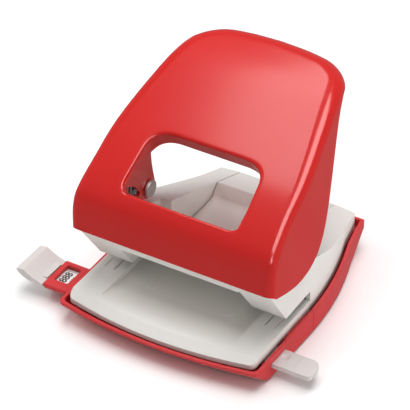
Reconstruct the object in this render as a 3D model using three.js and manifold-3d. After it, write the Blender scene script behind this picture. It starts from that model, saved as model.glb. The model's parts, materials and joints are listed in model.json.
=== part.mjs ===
// Two hole punch with a bent sheet steel handle, a sliding paper guide and a chip tray.
// Millimetres, +Z up. The origin is the middle of the two hole centres, on the table.
// +X is to the right of a person who feeds paper in from the front, along +Y.
// The Y values below are measured from the middle of the footprint, 17.5 mm behind the origin.
import * as THREE from "three";
import { mergeVertices } from "three/addons/utils/BufferGeometryUtils.js";
import Module from "manifold-3d";

const wasm = await Module();
wasm.setup();

// Driving dimensions

const HOLE_SPACING = 80;
const HOLE_X = HOLE_SPACING / 2;
const PUNCH_Y = -17.5;
const HOLE_MARGIN = 12; // from the paper's edge to the hole centres
const STOP_Y = PUNCH_Y + HOLE_MARGIN; // where the paper's edge stops
const PUNCH_R = 2.75;
const GAP = 0.3; // between pieces that rest on each other

const DECK_Z = 15.2; // surface that the paper lies on
const SLOT_TOP_Z = 20.2;
const TRAY_FRONT_Y = -60;
const TRAY_BOW = 5.3; // how far the front edge bulges forward
const TRAY_REAR_Y = 63.2;
const TRAY_HALF_WIDTH = 52.3;
const TRAY_WALL = 2.2;
const TRAY_FLOOR_Z = 0.8; // the rubber feet stand this much proud
const SEAM_Y = -8; // between the front tray and the chip tray
const BODY_INSET = 3.4; // from the tray's outside to the housing's outside

const STEEL = 1.5; // frame plates and handle ears
const HANDLE_STEEL = 1.2;
const PIVOT_Y = -33;
const PIVOT_Z = 52.5;
const DRIVE_Y = -17;
const DRIVE_Z = 56.4;
const PIN_R = 2.2;
const EAR_X = 29.6; // inner face of each handle ear

const RAIL_Y = -40;
const RAIL_WIDTH = 12;
const RAIL_Z = 5.5;
const RAIL_THICK = 2.4;
const GUIDE_STOP_X = -68.5; // paper edge at the four hole setting
const FOOT_R = 5;

// Colours

const RED = 0xc9302b;
const TRAY_RED = 0xcf3c3f;
const LIGHT_GREY = 0xe4e1dc;
const STEEL_GREY = 0x9a9a98;
const DARK_STEEL = 0x6e6e70;
const RUBBER = 0x2b2b2c;
const LABEL_WHITE = 0xf4f4f2;

const paint = (color) => new THREE.MeshStandardMaterial({ color, roughness: 0.3, metalness: 0.2 });
const plastic = (color) => new THREE.MeshStandardMaterial({ color, roughness: 0.5, metalness: 0 });
const metal = (color) => new THREE.MeshStandardMaterial({ color, roughness: 0.35, metalness: 0.9 });

// Solids

function solidOf(geometry) {
  const bare = geometry.index ? geometry.toNonIndexed() : geometry.clone();
  const onlyPositions = new THREE.BufferGeometry();
  onlyPositions.setAttribute("position", bare.getAttribute("position"));
  const merged = mergeVertices(onlyPositions, 1e-4);
  return meshSolid(merged.attributes.position.array, new Uint32Array(merged.index.array));
}

function meshSolid(vertProperties, triVerts) {
  return new wasm.Manifold(new wasm.Mesh({ numProp: 3, vertProperties, triVerts }));
}

function geometryOf(solid) {
  const mesh = solid.getMesh();
  const geometry = new THREE.BufferGeometry();
  geometry.setAttribute("position", new THREE.BufferAttribute(mesh.vertProperties, 3));
  geometry.setIndex(new THREE.BufferAttribute(mesh.triVerts, 1));
  const faceted = geometry.toNonIndexed();
  faceted.computeVertexNormals();
  return faceted;
}

const join = (solids) => solids.reduce((all, next) => all.add(next));
const cut = (solid, tools) => tools.reduce((left, tool) => left.subtract(tool), solid);

// Swapped left for right, with each triangle turned over so that it still faces outwards.
function mirrored(solid) {
  const mesh = solid.getMesh();
  const position = new THREE.BufferAttribute(mesh.vertProperties, 3);
  position.applyMatrix4(new THREE.Matrix4().makeScale(-1, 1, 1));
  return meshSolid(position.array, mesh.triVerts.reverse());
}

function box(x0, x1, y0, y1, z0, z1) {
  const geometry = new THREE.BoxGeometry(x1 - x0, y1 - y0, z1 - z0);
  geometry.translate((x0 + x1) / 2, (y0 + y1) / 2, (z0 + z1) / 2);
  return solidOf(geometry);
}

function extrude(shape, depth, steps = 1, curveSegments = 8) {
  return new THREE.ExtrudeGeometry(shape, { depth, steps, curveSegments, bevelEnabled: false });
}

// An outline in X and Y, from z0 up to z1.
function prismZ(shape, z0, z1, curveSegments = 8) {
  return solidOf(extrude(shape, z1 - z0, 1, curveSegments).translate(0, 0, z0));
}

// An outline in Y and Z, from x0 to x1.
function prismX(shape, x0, x1, curveSegments = 8) {
  const geometry = extrude(shape, x1 - x0, 1, curveSegments);
  const turn = new THREE.Matrix4().makeBasis(
    new THREE.Vector3(0, 1, 0),
    new THREE.Vector3(0, 0, 1),
    new THREE.Vector3(1, 0, 0),
  );
  return solidOf(geometry.applyMatrix4(turn).translate(x0, 0, 0));
}

const outline = (points) => new THREE.Shape(points.map(([a, b]) => new THREE.Vector2(a, b)));

// A round bar or ring along an axis, from a lathe profile of [radius, height] points.
function turned(profile, segments = 24) {
  return new THREE.LatheGeometry(outline(profile).getPoints(), segments).rotateX(Math.PI / 2);
}

function barZ(radius, x, y, z0, z1, segments = 24) {
  const geometry = new THREE.CylinderGeometry(radius, radius, z1 - z0, segments);
  return solidOf(geometry.rotateX(Math.PI / 2).translate(x, y, (z0 + z1) / 2));
}

function barX(radius, x0, x1, y, z, segments = 24) {
  const geometry = new THREE.CylinderGeometry(radius, radius, x1 - x0, segments);
  return solidOf(geometry.rotateZ(Math.PI / 2).translate((x0 + x1) / 2, y, z));
}

// A box of nx by ny by nz cells whose corners, from 0 to 1 each way, go where place says.
function mappedBox(nx, ny, nz, place) {
  const geometry = new THREE.BoxGeometry(1, 1, 1, nx, ny, nz).translate(0.5, 0.5, 0.5);
  const position = geometry.getAttribute("position");
  for (let i = 0; i < position.count; i++) {
    const [x, y, z] = place(position.getX(i), position.getY(i), position.getZ(i));
    position.setXYZ(i, x, y, z);
  }
  return solidOf(geometry);
}

const mix = (a, b, t) => a + (b - a) * t;
const clamp01 = (t) => Math.min(1, Math.max(0, t));

// The scene graph

const punch = new THREE.Group();

function add(name, solid, material) {
  const mesh = new THREE.Mesh(geometryOf(solid).translate(0, -PUNCH_Y, 0), material);
  mesh.name = name;
  punch.add(mesh);
}

function addPair(name, solid, material) {
  add(name + "_right", solid, material);
  add(name + "_left", mirrored(solid), material);
}

// Plan outline shared by the tray, the deck and the housing

function planShape(inset) {
  const side = TRAY_HALF_WIDTH - inset;
  const front = TRAY_FRONT_Y + inset;
  const rear = TRAY_REAR_Y - inset;
  const corner = 3;
  const shape = new THREE.Shape();
  shape.moveTo(side - corner, front - 0.3);
  shape.quadraticCurveTo(side, front, side, front + corner);
  shape.lineTo(side, SEAM_Y);
  shape.quadraticCurveTo(side - 0.3, 18, 43.2 - inset, 44);
  shape.lineTo(39.9 - inset, rear);
  shape.lineTo(inset - 39.9, rear);
  shape.lineTo(inset - 43.2, 44);
  shape.quadraticCurveTo(0.3 - side, 18, -side, SEAM_Y);
  shape.lineTo(-side, front + corner);
  shape.quadraticCurveTo(-side, front, corner - side, front - 0.3);
  shape.quadraticCurveTo(0, front - 2 * TRAY_BOW, side - corner, front - 0.3);
  return shape;
}

// The tray is a shallow boat: its front and rear walls lean in towards the bottom.

const LEAN_HEIGHT = 9.5;
const FRONT_LEAN = 10.5;
const REAR_LEAN = 13;

function trayBlock(inset, z0, z1) {
  const geometry = extrude(planShape(inset), LEAN_HEIGHT - z0, 1, 10).translate(0, 0, z0);
  const position = geometry.getAttribute("position");
  for (let i = 0; i < position.count; i++) {
    const y = position.getY(i);
    const lean = clamp01(1 - position.getZ(i) / LEAN_HEIGHT);
    if (y < -45) position.setY(i, y + lean * FRONT_LEAN);
    if (y > 50) position.setY(i, y - lean * REAR_LEAN);
  }
  return solidOf(geometry).add(prismZ(planShape(inset), LEAN_HEIGHT, z1, 10));
}

const RIM_SLOPE = 0.025;
const rimZ = (y) => 12 + RIM_SLOPE * (y + 20);
const ABOVE_RIM = prismX(
  outline([[-80, rimZ(-80)], [80, rimZ(80)], [80, 60], [-80, 60]]),
  -90,
  90,
);

function trayShell() {
  const outside = trayBlock(0, TRAY_FLOOR_Z, 19);
  const inside = trayBlock(TRAY_WALL, TRAY_FLOOR_Z + 2, 20);
  return cut(outside, [inside, ABOVE_RIM]);
}

const RAIL_SIDE = RAIL_WIDTH / 2;
const RAIL_TUNNEL = box(
  -90,
  90,
  RAIL_Y - RAIL_SIDE - 0.6,
  RAIL_Y + RAIL_SIDE + 0.6,
  RAIL_Z - GAP,
  RAIL_Z + RAIL_THICK + GAP,
);

const SCREW_PLACES = [[30, -50.2], [20, -30]];
const FRONT_FEET = [[42, -42], [42, -15]];
const REAR_FEET = [[34, 38]];

// A rubber strip under the middle, level with the feet
function gripBlock(room, z0, z1) {
  const half = 17 + room;
  const side = 4 + room;
  return box(-half, half, PUNCH_Y - side, PUNCH_Y + side, z0, z1);
}
const GRIP_DEPTH = 0.9;
const gripPocket = gripBlock(GAP, -1, TRAY_FLOOR_Z + GRIP_DEPTH);
const footPocket = ([x, y]) => barZ(FOOT_R + GAP, x, y, -1, TRAY_FLOOR_Z + 0.9);
const bothSides = (solid) => solid.add(mirrored(solid));

// The red frame on the left, where the format strip is read through a window
const FRAME_BOTTOM_Z = 4.4;
function guideFrame() {
  const shape = new THREE.Shape();
  const top = 10;
  shape.moveTo(-32.4, FRAME_BOTTOM_Z);
  shape.lineTo(-30.6, FRAME_BOTTOM_Z + 2.2);
  shape.lineTo(-30.6, top - 1.6);
  shape.quadraticCurveTo(-30.6, top, -32.2, top);
  shape.lineTo(-49.8, top);
  shape.quadraticCurveTo(-51.4, top, -51.4, top - 1.4);
  shape.quadraticCurveTo(-50.2, 6.2, -47.8, FRAME_BOTTOM_Z);
  const block = prismX(shape, -66.2, -50.6, 4);
  const window = box(-63.8, -56.2, -46.2, -33.8, RAIL_Z, 20);
  return block.subtract(window);
}

function baseTray() {
  const front = box(-70, 70, -90, SEAM_Y - GAP / 2, -1, 30);
  const shell = trayShell().intersect(front);
  const posts = SCREW_PLACES.map(([x, y]) => bothSides(barZ(2.8, x, y, TRAY_FLOOR_Z, 8.4, 16)));
  const bearerTop = DIE_PLATE_TOP - DIE_PLATE_THICK - GAP;
  const bearers = bothSides(
    box(45.7, 50.6, -29, -10, TRAY_FLOOR_Z + 1, 9.2).add(box(45.7, 46.6, -29, -10, 9, bearerTop)),
  );
  const bodies = join([shell, guideFrame(), ...posts, bearers]);
  const screwHoles = SCREW_PLACES.map(([x, y]) =>
    bothSides(barZ(1.8, x, y, -1, 10, 12).add(barZ(3.1, x, y, -1, 2.2, 16))),
  );
  const pockets = FRONT_FEET.map((place) => bothSides(footPocket(place)));
  return cut(bodies, [RAIL_TUNNEL, gripPocket, ...screwHoles, ...pockets]);
}

// The chip tray is a drawer: its floor reaches forward under the dies.
const DRAWER_FRONT_Y = -26;
const DRAWER_HALF_WIDTH = 45.2;
function chipTray() {
  const rear = box(-70, 70, SEAM_Y + GAP / 2, 90, -1, 30);
  const shell = trayShell().intersect(rear);
  const side = DRAWER_HALF_WIDTH;
  const floorBottom = TRAY_FLOOR_Z + 2 + GAP;
  const y1 = SEAM_Y + 6;
  const tongue = join([
    box(-side, side, DRAWER_FRONT_Y, y1, floorBottom, floorBottom + 1.4),
    box(-side, side, DRAWER_FRONT_Y, DRAWER_FRONT_Y + 1.4, floorBottom, 8),
    bothSides(box(side - 1.4, side, DRAWER_FRONT_Y, y1, floorBottom, 8)),
    box(-side, side, SEAM_Y + 0.5, y1, TRAY_FLOOR_Z + 1, floorBottom + 1),
  ]);
  const grip = box(-14, 14, TRAY_REAR_Y - 3, TRAY_REAR_Y + 3, 8.2, 10.6);
  const whole = shell.add(tongue);
  const pockets = REAR_FEET.map((place) => bothSides(footPocket(place)));
  return cut(whole, [grip, ...pockets]);
}

// Deck: lands at both sides, a floor between them that sinks towards the rear

const DIE_PLATE_TOP = 12.4;
const DIE_PLATE_THICK = 2;
const DECK_REAR_Y = 6;
const LAND_X = 35;
const STOP_TOP_Z = 19.3;
const DIE_HOLE_R = 4.4;

function deck() {
  const skirtBottom = 9.8;
  const top = prismZ(planShape(BODY_INSET), skirtBottom, DECK_Z);
  const keep = box(-60, 60, -80, DECK_REAR_Y, 0, 30);
  const hollow = prismZ(planShape(BODY_INSET + 2), 0, DIE_PLATE_TOP + GAP);
  const ramp = mappedBox(1, 1, 1, (u, v, w) => [
    mix(-LAND_X, LAND_X, u),
    mix(-51, STOP_Y, v),
    mix(mix(DECK_Z, DIE_PLATE_TOP + 1, v), DECK_Z + 4, w),
  ]);
  const wallBottom = DIE_PLATE_TOP + GAP;
  const stopWall = join([
    box(-31.2, 31.2, STOP_Y, STOP_Y + 1.6, wallBottom, STOP_TOP_Z),
    box(-25.7, 25.7, STOP_Y, DECK_REAR_Y, wallBottom, STOP_TOP_Z),
  ]);
  const sideGap = bothSides(box(25.7, 60, STOP_Y - GAP, 20, 0, 30));
  const dieHole = bothSides(barZ(DIE_HOLE_R + GAP, HOLE_X, PUNCH_Y, 0, 30));
  const groove = bothSides(grooveTool(HOLE_X, -31.5, PUNCH_Y - 5, 1.1));
  const ridgeGroove = bothSides(grooveTool(HOLE_X + 5, -31.5, -24, 0.6));
  const bosses = SCREW_PLACES.map(([x, y]) => bothSides(barZ(3, x, y, 8.8, DIE_PLATE_TOP + 1, 16)));
  const bossHoles = SCREW_PLACES.map(([x, y]) => bothSides(barZ(1.6, x, y, 0, 12, 12)));
  const slab = top.intersect(keep);
  const plate = cut(slab, [hollow, bevelTool(), ramp, sideGap]);
  const withStop = join([plate, stopWall, ...bosses]);
  return cut(withStop, [dieHole, groove, ridgeGroove, ...bossHoles]);
}

// The space above the bevel along the deck's bowed front edge
function bevelTool() {
  const front = TRAY_FRONT_Y + BODY_INSET;
  const half = TRAY_HALF_WIDTH - BODY_INSET;
  return mappedBox(12, 1, 1, (u, v, w) => {
    const x = mix(-half - 2, half + 2, u);
    const bow = TRAY_BOW * (1 - (x / half) ** 2);
    const inner = mix(-2, 4.4, v);
    const low = mix(10.6, DECK_Z + 0.05, clamp01((inner + 0.4) / 4.8));
    return [x, front - bow + inner, mix(low, DECK_Z + 3, w)];
  });
}

function grooveTool(x, y0, y1, depth) {
  const shape = outline([[-0.9, DECK_Z + 0.5], [0, DECK_Z - depth], [0.9, DECK_Z + 0.5]]);
  const geometry = extrude(shape, y1 - y0).rotateX(Math.PI / 2).translate(x, y1, 0);
  return solidOf(geometry);
}

// Housing: two hoods over the paper slot, the lip between them, and a side panel behind each hood

const HOUSING_REAR_Y = TRAY_REAR_Y - BODY_INSET;
const SEAM_X = 26; // between a side panel and the centre cover
const HOUSING_WALL = 2;
const HOUSING_BOTTOM_Z = 9.9; // just above the leaning part of the tray's walls
const HOOD_TIP_Y = -28.5;
const HOOD_FRONT_Y = -44.4;
const HOOD_TOP_Z = 42.6;
const HOOD_INNER_X = 31.5;
const LIP_Z = 37.4;
const seamZ = (y) => 40.8 - 0.352 * y;
const creaseDrop = (y) => 5.4 * Math.sin(Math.PI * clamp01((64 - y) / 90)) ** 0.8;
const creaseZ = (y) => seamZ(y) - creaseDrop(y);

function housingBlock(inset) {
  const tip = [HOOD_TIP_Y + inset, SLOT_TOP_Z + inset];
  const profile = [
    tip,
    [STOP_Y + inset, SLOT_TOP_Z + inset],
    [STOP_Y + inset, HOUSING_BOTTOM_Z - 5 * inset],
    [HOUSING_REAR_Y - inset, HOUSING_BOTTOM_Z - 5 * inset],
    [HOUSING_REAR_Y - inset, seamZ(HOUSING_REAR_Y)],
    [-8, seamZ(-8)],
    [-40.4, 45.6],
    [HOOD_FRONT_Y + 1.2 * inset, HOOD_TOP_Z],
  ];
  const sides = prismX(outline(profile), -60, 60);
  const plan = prismZ(planShape(BODY_INSET + inset), 0, 60);
  const overhang = box(-60, 60, -60, STOP_Y - 8, 0, 60);
  const wide = mappedBox(1, 1, 1, (u, v, w) => [
    mix(-1, 1, u) * (mix(50.2, 48.8, v) - inset),
    mix(-50, STOP_Y - 8, v),
    mix(0, 60, w),
  ]);
  return sides.intersect(plan.subtract(overhang).add(wide));
}

// Everything above a side panel, lowered by the panel's thickness for the hollow
function abovePanel(lower, x0) {
  const CELLS = 10;
  return mappedBox(2, CELLS, 1, (u, v, w) => {
    const y = mix(-12, HOUSING_REAR_Y + 2, v);
    const across = mix(0, 1.2, u);
    const crease = 48.4 - 11.2 * clamp01((y - 4) / 58) ** 1.5;
    const surface = mix(seamZ(y), creaseZ(y), across) - lower;
    return [mix(x0, crease, across), y, mix(surface, 60, w)];
  });
}

function housing() {
  const outside = cut(housingBlock(0), [bothSides(abovePanel(0, SEAM_X))]);
  const inside = cut(housingBlock(HOUSING_WALL), [bothSides(abovePanel(HOUSING_WALL, SEAM_X))]);
  const inboardWall = bothSides(box(SEAM_X, SEAM_X + HOUSING_WALL, STOP_Y, HOUSING_REAR_Y, 16, 45));
  const hoodWall = bothSides(box(HOOD_INNER_X, HOOD_INNER_X + 1.4, -50, STOP_Y + 3.4, 0, 45));
  const throatWall = bothSides(box(SEAM_X, HOOD_INNER_X + 1, STOP_Y + 2, STOP_Y + 3.4, 16, 45));
  const hollow = cut(inside, [inboardWall, hoodWall, throatWall]);
  const towerMouth = bothSides(
    join([box(HOOD_INNER_X + 1.4, 47.6, -40.5, -26, 40, 60), box(35.8, 47.6, -27, -11.5, 40, 60)]),
  );
  const centre = box(-SEAM_X, SEAM_X, STOP_Y, 80, 0, 60);
  const throat = box(-HOOD_INNER_X, HOOD_INNER_X, -60, STOP_Y + 2, 0, 60);
  const shell = cut(outside, [hollow, towerMouth, centre, throat]);
  const punchHoles = bothSides(barZ(PUNCH_R + 0.8, HOLE_X, PUNCH_Y, 15, 30));
  const frameSlots = bothSides(
    box(FRAME_IN - GAP, FRAME_OUT + GAP, STOP_Y - 1, 5.8, 0, 22.4).subtract(
      box(FRAME_IN + 2, FRAME_OUT - 2, STOP_Y - 2, STOP_Y + 2, 0, 23),
    ),
  );
  const lip = prismX(
    outline([
      [HOOD_FRONT_Y, HOOD_TOP_Z],
      [HOOD_FRONT_Y + 2.4, LIP_Z],
      [-8, 22],
      [-8, 24],
      [-40, 39.4],
      [-41.6, 45],
    ]),
    -HOOD_INNER_X - 0.4,
    HOOD_INNER_X + 0.4,
  );
  const dieSpace = box(-47.4, 47.4, STOP_Y - 1, 5.5, 0, DIE_PLATE_TOP + GAP);
  return cut(shell.add(lip), [punchHoles, frameSlots, dieSpace]);
}

function centreCover() {
  const side = SEAM_X - GAP;
  const floor = 19.6;
  const y0 = STOP_Y + 1;
  const skin = 1.8;
  const profile = outline([
    [y0, floor],
    [34, floor],
    [38.4, seamZ(38.4) - skin],
    [HOUSING_REAR_Y - skin, seamZ(HOUSING_REAR_Y) - skin],
    [HOUSING_REAR_Y - skin, HOUSING_BOTTOM_Z],
    [HOUSING_REAR_Y, HOUSING_BOTTOM_Z],
    [HOUSING_REAR_Y, seamZ(HOUSING_REAR_Y)],
    [38, seamZ(38)],
    [33, floor + skin],
    [y0, floor + skin],
  ]);
  return prismX(profile, -side, side);
}

// Steel frame: two plates, a punch guide between them and a back web, open to the front like a C

const FRAME_IN = 33.2;
const FRAME_OUT = 46.2;
const GUIDE_BOTTOM_Z = 22.5;
const GUIDE_TOP_Z = 24.5;

function frameSide() {
  const plate = new THREE.Shape();
  plate.moveTo(STOP_Y + 1.6, DIE_PLATE_TOP + GAP);
  plate.lineTo(5.2, DIE_PLATE_TOP + GAP);
  plate.lineTo(5.2, 25);
  plate.lineTo(-10, 38.5);
  plate.lineTo(-25, 41);
  plate.lineTo(PIVOT_Y + 5.6, PIVOT_Z);
  plate.absarc(PIVOT_Y, PIVOT_Z, 5.6, 0, Math.PI, false);
  plate.lineTo(PIVOT_Y - 5.4, 40);
  plate.lineTo(-25.6, GUIDE_BOTTOM_Z);
  plate.lineTo(STOP_Y + 1.6, GUIDE_BOTTOM_Z);
  plate.closePath();
  const inner = prismX(plate, FRAME_IN, FRAME_IN + STEEL);
  const outer = prismX(plate, FRAME_OUT - STEEL, FRAME_OUT);
  const guide = box(FRAME_IN + 0.5, FRAME_OUT - 0.5, -25, -6.5, GUIDE_BOTTOM_Z, GUIDE_TOP_Z);
  const web = box(FRAME_IN + 0.5, FRAME_OUT - 0.5, 1, 2.5, DIE_PLATE_TOP + GAP, 25);
  const holes = [
    barZ(PUNCH_R + 0.15, HOLE_X, PUNCH_Y, 10, 40),
    barX(PIVOT_PIN_R + GAP, 30, 60, PIVOT_Y, PIVOT_Z),
  ];
  return cut(join([inner, outer, guide, web]), holes);
}

function diePlate() {
  const bottom = DIE_PLATE_TOP - DIE_PLATE_THICK;
  const plate = box(-46.6, 46.6, -29, 5.2, bottom, DIE_PLATE_TOP);
  const dieHoles = bothSides(barZ(DIE_R + GAP, HOLE_X, PUNCH_Y, 0, 20));
  const bossHoles = bothSides(barZ(3.8, SCREW_PLACES[1][0], SCREW_PLACES[1][1], 0, 20, 16));
  return cut(plate, [dieHoles, bossHoles]);
}

const DIE_R = 4.4;
function die() {
  const top = DECK_Z - 0.2;
  const ring = [[2.95, 9.4], [DIE_R, 9.4], [DIE_R, top], [3.4, top], [2.95, top - 0.6], [2.95, 9.4]];
  return solidOf(turned(ring).translate(HOLE_X, PUNCH_Y, 0));
}

const PUNCH_TIP_Z = 21.4;
const YOKE_Z = 51.4;
function punchPin() {
  const rod = barZ(PUNCH_R, HOLE_X, PUNCH_Y, PUNCH_TIP_Z, YOKE_Z + 1);
  const yoke = box(HOLE_X - 3.6, HOLE_X + 3.6, PUNCH_Y - 5, PUNCH_Y + 5, YOKE_Z, 61.4);
  const slotHalf = PIN_R + GAP;
  const slot = box(
    FRAME_IN,
    FRAME_OUT,
    DRIVE_Y - slotHalf - 0.9,
    DRIVE_Y + slotHalf + 0.4,
    DRIVE_Z - slotHalf,
    DRIVE_Z + slotHalf,
  );
  const notch = outline([[-4, PUNCH_TIP_Z - 1], [0, PUNCH_TIP_Z + 1.5], [4, PUNCH_TIP_Z - 1]]);
  const tip = solidOf(
    extrude(notch, 12).rotateX(Math.PI / 2).translate(HOLE_X, PUNCH_Y + 6, 0),
  );
  return cut(rod.add(yoke), [slot, tip]);
}

const SPRING_BOTTOM = 25.7;
const SPRING_TOP = YOKE_Z - GAP;
function springSleeve() {
  const ring = [
    [3.5, SPRING_BOTTOM],
    [4.4, SPRING_BOTTOM],
    [4.4, SPRING_TOP],
    [3.5, SPRING_TOP],
    [3.5, SPRING_BOTTOM],
  ];
  return solidOf(turned(ring, 16).translate(HOLE_X, PUNCH_Y, 0));
}

function springSeat() {
  const z0 = GUIDE_TOP_Z + 0.1;
  const z1 = SPRING_BOTTOM - 0.1;
  const ring = [[3.2, z0], [4.5, z0], [4.5, z1], [3.2, z1], [3.2, z0]];
  return solidOf(turned(ring, 16).translate(HOLE_X, PUNCH_Y, 0));
}

// Pins: a head on the ear's inner face, a shank out to the frame or the punch, and a clip

const PIVOT_PIN_R = 2.5;
const PIVOT_PIN_END = 48.4;
const DRIVE_PIN_END = 45.6;
const HEAD_R = 4.1;

function headedPin(radius, x1, y, z, clipX) {
  const head = barX(HEAD_R, EAR_X - 2, EAR_X - GAP, y, z);
  const shank = barX(radius, EAR_X - 1, x1, y, z);
  const groove = barX(radius + 1, clipX - 0.1, clipX + 0.9, y, z).subtract(
    barX(radius - 0.6, clipX - 1, clipX + 2, y, z),
  );
  return head.add(shank).subtract(groove);
}

function retainingClip(radius, clipX, y, z) {
  const ring = barX(radius + 1.4, clipX + 0.1, clipX + 0.7, y, z).subtract(
    barX(radius - 0.4, clipX - 1, clipX + 2, y, z),
  );
  return ring.subtract(box(clipX - 1, clipX + 2, y - 0.8, y + 0.8, z - 10, z));
}

// Handle: bent steel plate with flanks at both sides, a folded window rim and two ears

const LEAN = Math.PI / 6;
const HANDLE_BOTTOM = new THREE.Vector2(-48.2, 45.5);
const FACE_POINTS = [
  [-48.2, 45.5],
  [-47.4, 57.5],
  [-42.2, 67.2],
  [-22.8, 80.8],
  [7.5, 97.3],
  [28.1, 106.1],
  [54, 111],
];
const faceCurve = new THREE.SplineCurve(FACE_POINTS.map(([y, z]) => new THREE.Vector2(y, z)));
const FACE_STEPS = 26;

// The face's profile, moved inwards by a depth that may change along it.
function faceOffset(depthAt) {
  const points = [];
  for (let i = 0; i <= FACE_STEPS; i++) {
    const t = i / FACE_STEPS;
    const tangent = faceCurve.getTangent(t);
    const inwards = new THREE.Vector2(tangent.y, -tangent.x);
    points.push(faceCurve.getPoint(t).addScaledVector(inwards, depthAt(t)));
  }
  return points;
}

// An outline across the handle, in X and in distance up the lean, pushed through the handle.
function prismN(shape, curveSegments = 8) {
  const turn = new THREE.Matrix4().makeBasis(
    new THREE.Vector3(1, 0, 0),
    new THREE.Vector3(0, Math.cos(LEAN), Math.sin(LEAN)),
    new THREE.Vector3(0, -Math.sin(LEAN), Math.cos(LEAN)),
  );
  const geometry = extrude(shape, 260, 1, curveSegments).translate(0, 0, -130);
  return solidOf(geometry.applyMatrix4(turn).translate(0, HANDLE_BOTTOM.x, HANDLE_BOTTOM.y));
}

const LEAN_LENGTH = 118.2;
function handleOutline(inset) {
  const side = [
    [52.7, -20],
    [52.4, 10],
    [51, 30],
    [50.1, 50],
    [46.4, 74.5],
    [41.5, 99],
    [36.8, 108.3],
    [27.8, 114.8],
    [15.5, 117.3],
    [0, LEAN_LENGTH],
  ];
  const right = side.map(([x, s]) => new THREE.Vector2(x, s));
  const curve = new THREE.SplineCurve(right);
  const half = [];
  const COUNT = 22;
  for (let i = 0; i <= COUNT; i++) {
    const tangent = curve.getTangent(i / COUNT);
    const inwards = new THREE.Vector2(-tangent.y, tangent.x);
    half.push(curve.getPoint(i / COUNT).addScaledVector(inwards, inset));
  }
  const left = half.slice(0, -1).reverse().map((p) => new THREE.Vector2(-p.x, p.y));
  return new THREE.Shape([...half, ...left]);
}

function windowOutline(grow) {
  const bottom = 18.6 - grow;
  const top = 51.6 + grow;
  const halfBottom = 30.5 + grow;
  const halfTop = 28.6 + grow;
  const low = 5;
  const high = 9;
  const shape = new THREE.Shape();
  shape.moveTo(0, bottom);
  shape.lineTo(halfBottom - low, bottom);
  shape.quadraticCurveTo(halfBottom, bottom, halfBottom - 0.3, bottom + low);
  shape.lineTo(halfTop + 0.5, top - high);
  shape.quadraticCurveTo(halfTop, top, halfTop - high - 2, top);
  shape.lineTo(high + 2 - halfTop, top);
  shape.quadraticCurveTo(-halfTop, top, -halfTop - 0.5, top - high);
  shape.lineTo(0.3 - halfBottom, bottom + low);
  shape.quadraticCurveTo(-halfBottom, bottom, low - halfBottom, bottom);
  shape.closePath();
  return shape;
}

function handleSolid(faceDepth, inset, opened) {
  const face = faceOffset(() => faceDepth);
  const shape = new THREE.Shape(face);
  if (opened) {
    shape.lineTo(90, 110);
    shape.lineTo(90, 0);
    shape.lineTo(-44, 0);
  } else {
    shape.lineTo(54.6, 104.6);
    shape.splineThru(
      [
        [45, 104.4],
        [36, 101.8],
        [26.8, 93.6],
        [15.8, 73.8],
        [6.2, 55],
        [-0.2, 44.4],
        [-6, 39.2],
        [-14, 37],
        [-27, 38],
        [-47.6, 44],
      ].map(([y, z]) => new THREE.Vector2(y, z)),
    );
  }
  shape.closePath();
  return prismX(shape, -60, 60, 3).intersect(prismN(handleOutline(inset)));
}

function ear() {
  const shape = new THREE.Shape();
  shape.moveTo(-14, 83.6);
  shape.quadraticCurveTo(-16, 74, DRIVE_Y + 5.4, DRIVE_Z + 1);
  shape.absarc(DRIVE_Y, DRIVE_Z, 5.4, 0, -Math.PI / 2 - 0.5, true);
  shape.quadraticCurveTo(-25, 55.4, PIVOT_Y + 3.8, PIVOT_Z - 3.8);
  shape.absarc(PIVOT_Y, PIVOT_Z, 5, -Math.PI / 4, -Math.PI, true);
  shape.lineTo(-39.6, 64);
  shape.lineTo(-40, 68.6);
  shape.closePath();
  const plate = prismX(shape, EAR_X, EAR_X + STEEL);
  const holes = [
    barX(PIVOT_PIN_R + GAP, 20, 40, PIVOT_Y, PIVOT_Z),
    barX(PIN_R + 0.15, 20, 40, DRIVE_Y, DRIVE_Z),
    barX(3.2, 20, 40, -29.2, 61.8),
  ];
  return cut(plate, holes);
}

function handle() {
  const outer = handleSolid(0, 0, false);
  const inner = handleSolid(HANDLE_STEEL, HANDLE_STEEL, true);
  const shell = outer.subtract(inner);
  const rim = prismN(windowOutline(1.2)).subtract(prismN(windowOutline(0)));
  const rimDepth = (t) => 2.6 + 8 * clamp01((t - 0.3) / 0.25);
  const band = new THREE.Shape([...faceOffset(() => 0.1), ...faceOffset(rimDepth).reverse()]);
  const collar = rim.intersect(prismX(band, -40, 40));
  const opened = shell.subtract(prismN(windowOutline(0.6)));
  return join([opened, collar, bothSides(ear())]);
}

// Paper guide: a rail that slides through the tray, its stop, its grip tab and its format strip

const RAIL_LEFT_X = -71;
const TAB_LEFT_X = 50;
const TAB_RIGHT_X = 71.5;

function guideRail() {
  const z1 = RAIL_Z + RAIL_THICK;
  const y0 = RAIL_Y - RAIL_SIDE;
  const y1 = RAIL_Y + RAIL_SIDE;
  const bar = outline([
    [RAIL_LEFT_X, y0],
    [TAB_RIGHT_X - 2.5, y0],
    [TAB_RIGHT_X, y0 + 2.5],
    [TAB_RIGHT_X, y1 - 5],
    [TAB_RIGHT_X - 5, y1],
    [RAIL_LEFT_X, y1],
  ]);
  const strip = box(STRIP_X0 - GAP, STRIP_X1 + GAP, RAIL_Y - 4.8, RAIL_Y + 4.8, z1 - 0.6, z1 + 1);
  const dimple = new THREE.SphereGeometry(5, 16, 12);
  dimple.translate(TAB_LEFT_X + 5, RAIL_Y + 1.6, z1 + 4.4);
  return cut(prismZ(bar, RAIL_Z, z1), [strip, solidOf(dimple)]);
}

const STRIP_X0 = -66.4;
const STRIP_X1 = 26;
function formatStrip() {
  const top = RAIL_Z + RAIL_THICK;
  return box(STRIP_X0, STRIP_X1, RAIL_Y - 4.5, RAIL_Y + 4.5, top - 0.45, top - 0.05);
}

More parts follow.
